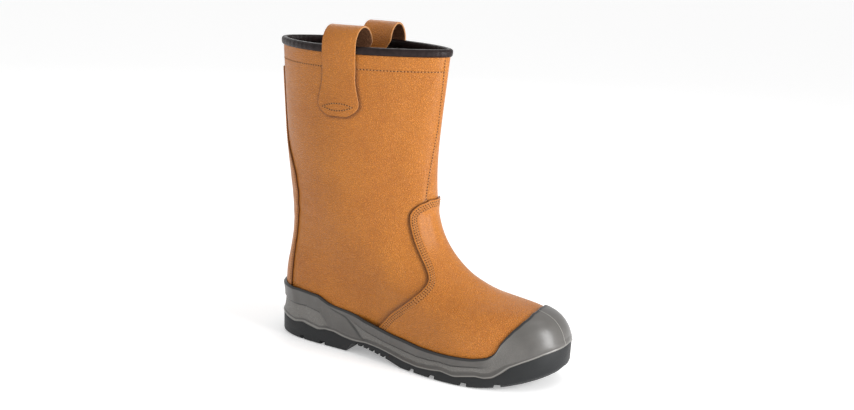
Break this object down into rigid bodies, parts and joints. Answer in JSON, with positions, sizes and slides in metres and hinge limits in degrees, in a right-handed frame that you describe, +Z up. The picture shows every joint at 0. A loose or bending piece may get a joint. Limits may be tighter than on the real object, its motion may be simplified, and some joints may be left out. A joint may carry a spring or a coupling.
{
  "type": "rigger boot",
  "caption": "Pull-on leather rigger boot with two pull loops at the collar, a vamp overlay, a moulded midsole that rises into a toe cap, and a lugged outsole.",
  "frame": {"origin": "on the floor, at the middle of the heel's tread and on the boot's length line", "axes": "+X along the boot towards the toe, +Y towards the inner (medial) side, +Z up"},
  "size_m": [0.3177, 0.1068, 0.3163],
  "materials": {
    "leather": "waxed, fine pebble grain",
    "strap_leather": "waxed, suede on the flesh side",
    "grey_polyurethane": "moulded, satin",
    "black_rubber": "moulded, matte",
    "dark_binding": "smooth, semi-gloss",
    "dark_textile": "brushed"
  },
  "bodies": {
    "root": {"upper": "leather", "vamp": "leather", "backstay": "leather", "collar_binding": "dark_binding", "pull_loop_lateral": "strap_leather", "pull_loop_medial": "strap_leather", "midsole": "grey_polyurethane", "outsole": "black_rubber", "insole": "dark_textile"}
  },
  "joints": []
}
